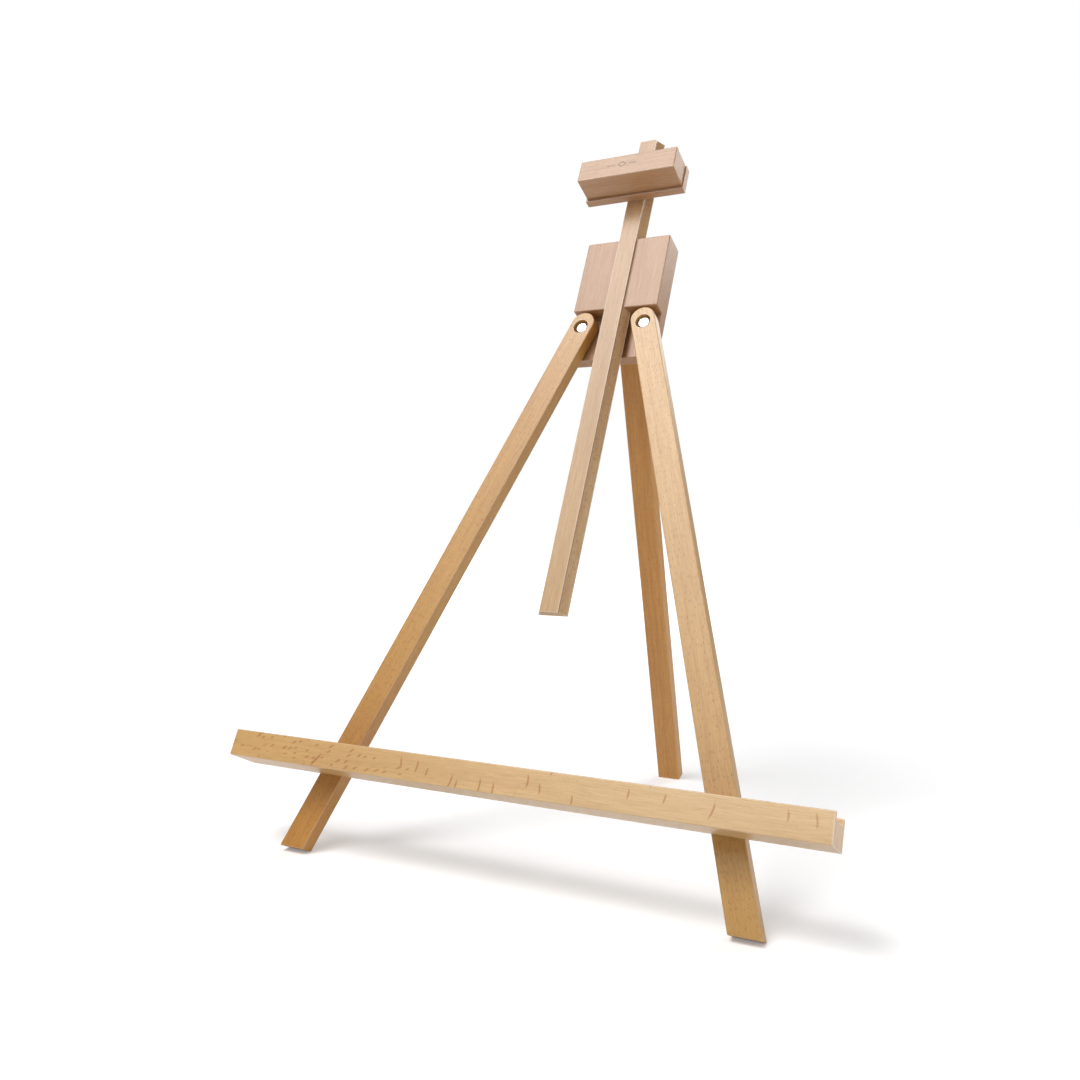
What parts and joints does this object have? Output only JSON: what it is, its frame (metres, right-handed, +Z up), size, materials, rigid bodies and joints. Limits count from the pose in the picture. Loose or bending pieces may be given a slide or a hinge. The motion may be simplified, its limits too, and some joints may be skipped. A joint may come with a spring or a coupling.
{
  "type": "table-top easel",
  "caption": "Folding table-top easel: leaning A-frame of square-edged legs, grooved canvas tray, sliding centre mast with a canvas clamp and a hinged rear leg.",
  "frame": {"origin": "on the floor, at the middle of the standing easel's width and depth", "axes": "+Z up, +X to the right of someone facing the canvas side, +Y backwards, so the canvas side faces -Y and leans towards +Y"},
  "size_m": [0.44, 0.3382, 0.5664],
  "materials": {
    "beech": "clear matt oil",
    "plated_steel": "bright plated",
    "zinc_steel": "zinc plated",
    "brass": "machined",
    "nylon": "natural",
    "black_plastic": "satin"
  },
  "bodies": {
    "head": {"head_block": "beech", "left_pivot_bolt": "plated_steel", "right_pivot_bolt": "plated_steel", "left_pivot_spacer": "zinc_steel", "right_pivot_spacer": "zinc_steel", "left_pivot_back_washer": "zinc_steel", "right_pivot_back_washer": "zinc_steel", "left_pivot_nut": "zinc_steel", "right_pivot_nut": "zinc_steel", "hinge_head_leaf": "zinc_steel", "hinge_head_screw_left": "zinc_steel", "hinge_head_screw_right": "zinc_steel", "hinge_pin": "zinc_steel", "lock_insert": "brass"},
    "left_leg": {"left_front_leg": "beech", "left_tray_washer": "zinc_steel"},
    "right_leg": {"right_front_leg": "beech", "right_tray_washer": "zinc_steel"},
    "tray_bar": {"tray": "beech", "left_tray_insert": "brass", "right_tray_insert": "brass"},
    "left_tray_bolt": {"left_wing_bolt": "zinc_steel"},
    "right_tray_bolt": {"right_wing_bolt": "zinc_steel"},
    "mast_and_clamp": {"mast": "beech", "clamp_back_plate": "beech", "clamp_block": "beech", "clamp_screw_upper": "zinc_steel", "clamp_screw_lower": "zinc_steel"},
    "back_leg": {"rear_leg": "beech", "hinge_leg_leaf": "zinc_steel", "hinge_leg_screw_left": "zinc_steel", "hinge_leg_screw_right": "zinc_steel"},
    "lock_tip": {"lock_pad": "nylon"},
    "lock_handle": {"lock_stud": "zinc_steel", "lock_knob": "black_plastic"}
  },
  "joints": [
    {"name": "left_leg_fold", "type": "hinge", "parent": "head", "child": "left_leg", "pos_m": [-0.0237, 0.02111, 0.39737], "axis": [0, -0.9026, 0.4305], "range_deg": [0, 17.9]},
    {"name": "right_leg_fold", "type": "hinge", "parent": "head", "child": "right_leg", "pos_m": [0.0303, 0.02111, 0.39737], "axis": [0, 0.9026, -0.4305], "range_deg": [0, 17.9]},
    {"name": "tray_swing", "type": "hinge", "parent": "left_leg", "child": "tray_bar", "pos_m": [-0.14356, -0.13865, 0.06241], "axis": [0, 0.9026, -0.4305], "range_deg": [0, 17.9]},
    {"name": "left_wing_bolt_turn", "type": "hinge", "parent": "tray_bar", "child": "left_tray_bolt", "pos_m": [-0.14356, -0.12873, 0.05768], "axis": [0, 0.9026, -0.4305], "range_deg": [0, 90]},
    {"name": "right_wing_bolt_turn", "type": "hinge", "parent": "right_leg", "child": "right_tray_bolt", "pos_m": [0.15016, -0.12873, 0.05768], "axis": [0, 0.9026, -0.4305], "range_deg": [0, 90]},
    {"name": "mast_slide", "type": "slide", "parent": "head", "child": "mast_and_clamp", "axis": [0, 0.4305, 0.9026], "range_m": [-0.036, 0.24]},
    {"name": "rear_leg_fold", "type": "hinge", "parent": "head", "child": "back_leg", "pos_m": [0.0033, 0.05168, 0.40572], "axis": [-1, 0, 0], "range_deg": [0, 40]},
    {"name": "lock_tip_slide", "type": "slide", "parent": "head", "child": "lock_tip", "axis": [0, 0.9026, -0.4305], "range_m": [0, 0.002]},
    {"name": "lock_knob_turn", "type": "hinge", "parent": "lock_tip", "child": "lock_handle", "pos_m": [0.0033, 0.06882, 0.44629], "axis": [0, 0.9026, -0.4305], "range_deg": [0, 722]}
  ],
  "couplings": [
    {"joint": "tray_swing", "follows": "left_leg_fold", "ratio": 1},
    {"joint": "lock_knob_turn", "follows": "lock_tip_slide", "rad_per_m": 6283.2}
  ]
}
